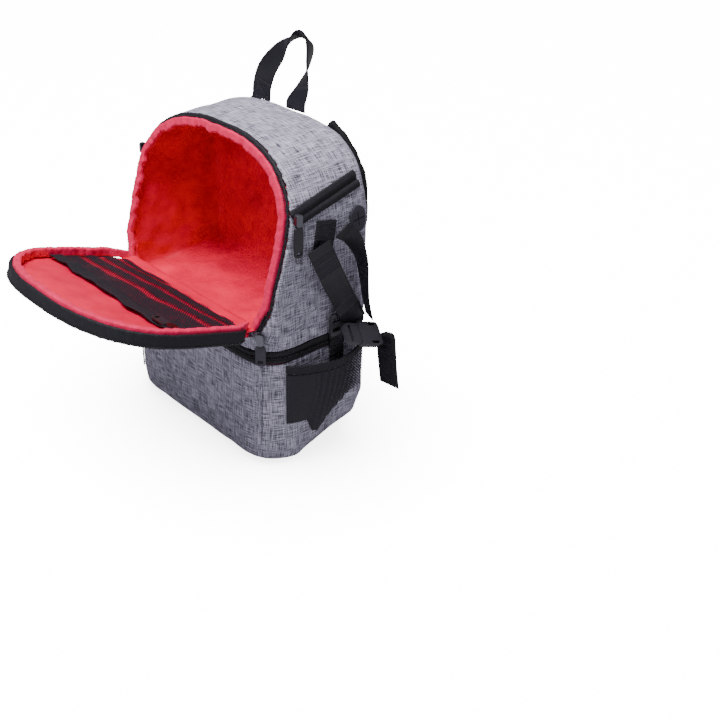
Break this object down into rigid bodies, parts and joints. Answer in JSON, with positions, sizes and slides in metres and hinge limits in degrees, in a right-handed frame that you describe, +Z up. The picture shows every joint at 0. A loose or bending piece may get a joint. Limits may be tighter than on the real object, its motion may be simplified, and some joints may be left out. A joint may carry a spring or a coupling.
{
  "type": "camera backpack",
  "caption": "Two-deck camera backpack in grey canvas with red padded lining, its arched front door folded down, with top handle, side net pockets and side strap.",
  "frame": {"origin": "middle of the base of the closed lower deck, on the floor the bag stands on", "axes": "+Z up, -Y towards the front, where the upper door opens, +X towards the side with the strap and the cable port"},
  "size_m": [0.3224, 0.3555, 0.4357],
  "materials": {
    "canvas": "heather slub weave, matt",
    "lining": "smooth nylon over padding, slight sheen",
    "binding": "gathered nylon binding",
    "zip_tape": "woven tape with moulded coil",
    "net": "knitted net",
    "webbing": "ribbed webbing",
    "pad": "padded air mesh",
    "plastic": "moulded, satin",
    "metal": "dark lacquered",
    "rubber": "moulded, matt"
  },
  "bodies": {
    "root": {"upper_shell": "canvas", "upper_lining": "lining", "opening_zip_tape": "zip_tape", "opening_binding": "binding", "lower_shell": "canvas", "lower_lining": "lining", "mid_zip": "zip_tape", "back_hinge_strip": "canvas", "back_pad": "pad", "divider_long": "lining", "divider_back_left": "lining", "divider_back_right": "lining", "divider_front": "lining", "door_zip_tape": "zip_tape", "door_canvas": "canvas", "door_lining": "lining", "door_binding": "binding", "door_net": "net", "door_net_zip": "zip_tape", "door_net_slider": "metal", "door_net_pull": "webbing", "opening_slider": "metal", "opening_pull": "webbing", "side_zip_right": "zip_tape", "side_zip_left": "zip_tape", "side_zip_right_slider": "metal", "side_zip_left_slider": "metal", "side_zip_right_pull": "webbing", "side_zip_left_pull": "webbing", "port": "rubber", "strap_tab": "webbing", "handle": "webbing", "side_strap_front": "webbing", "side_strap_back": "webbing", "strap_tail": "webbing", "lower_tab": "webbing", "tab_ring": "plastic", "buckle_socket": "plastic", "buckle_clip": "plastic", "shoulder_strap_right": "pad", "shoulder_strap_left": "pad", "shoulder_webbing_right": "webbing", "shoulder_webbing_left": "webbing", "ladder_lock_right": "plastic", "ladder_lock_left": "plastic", "pocket_net_right": "net", "pocket_net_left": "net", "pocket_binding_right": "zip_tape", "pocket_binding_left": "zip_tape"}
  },
  "joints": []
}
